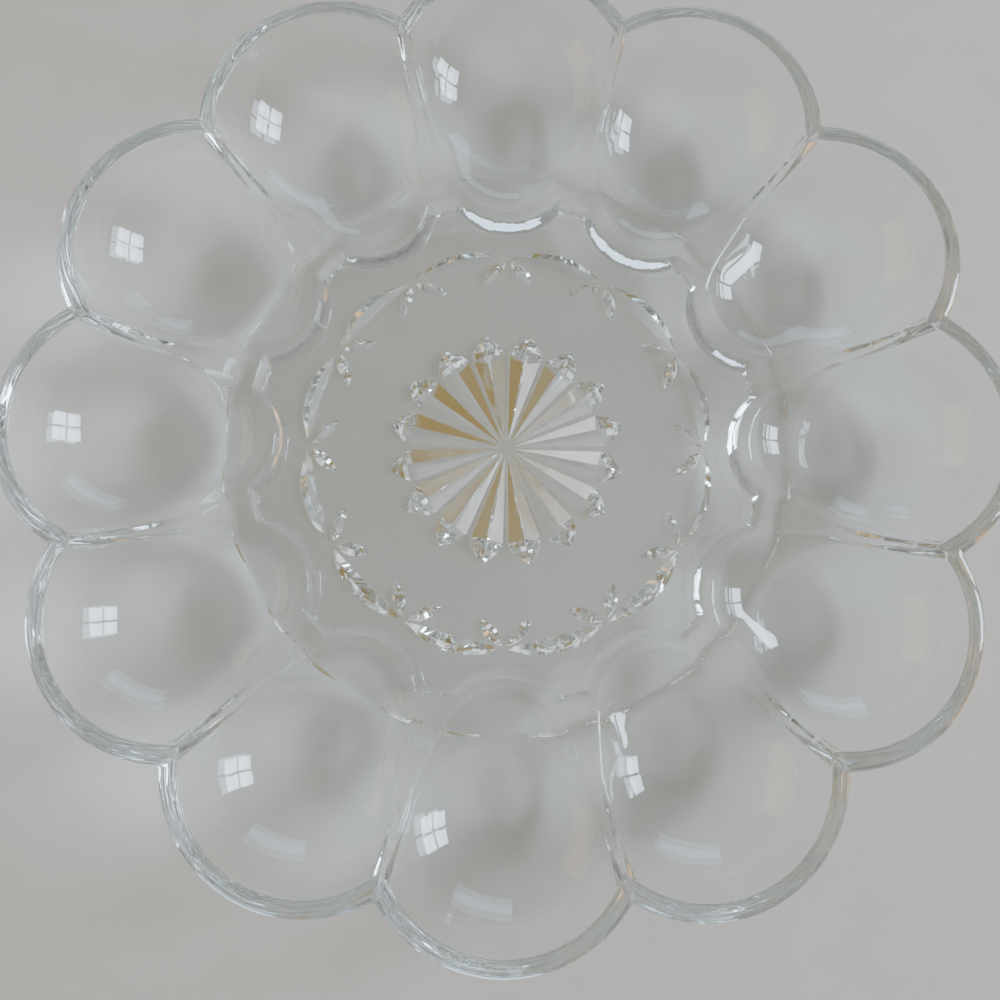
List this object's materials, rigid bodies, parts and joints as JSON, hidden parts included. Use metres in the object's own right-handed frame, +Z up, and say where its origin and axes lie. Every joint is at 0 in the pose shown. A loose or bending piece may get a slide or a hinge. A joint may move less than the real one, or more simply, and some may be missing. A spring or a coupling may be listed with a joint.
{
  "type": "deviled egg platter",
  "caption": "Round clear pressed-glass platter with a ring of egg-shaped wells, a scalloped rim and a star cut under its flat middle.",
  "frame": {"origin": "centre of the flat foot, on the table", "axes": "+Z up out of the dish along its axis; +X through the middle of one egg well"},
  "size_m": [0.2508, 0.2508, 0.028],
  "materials": {
    "clear_glass": "clear pressed glass, polished by the flame, with soft edges"
  },
  "bodies": {
    "root": {"platter": "clear_glass"}
  },
  "joints": []
}
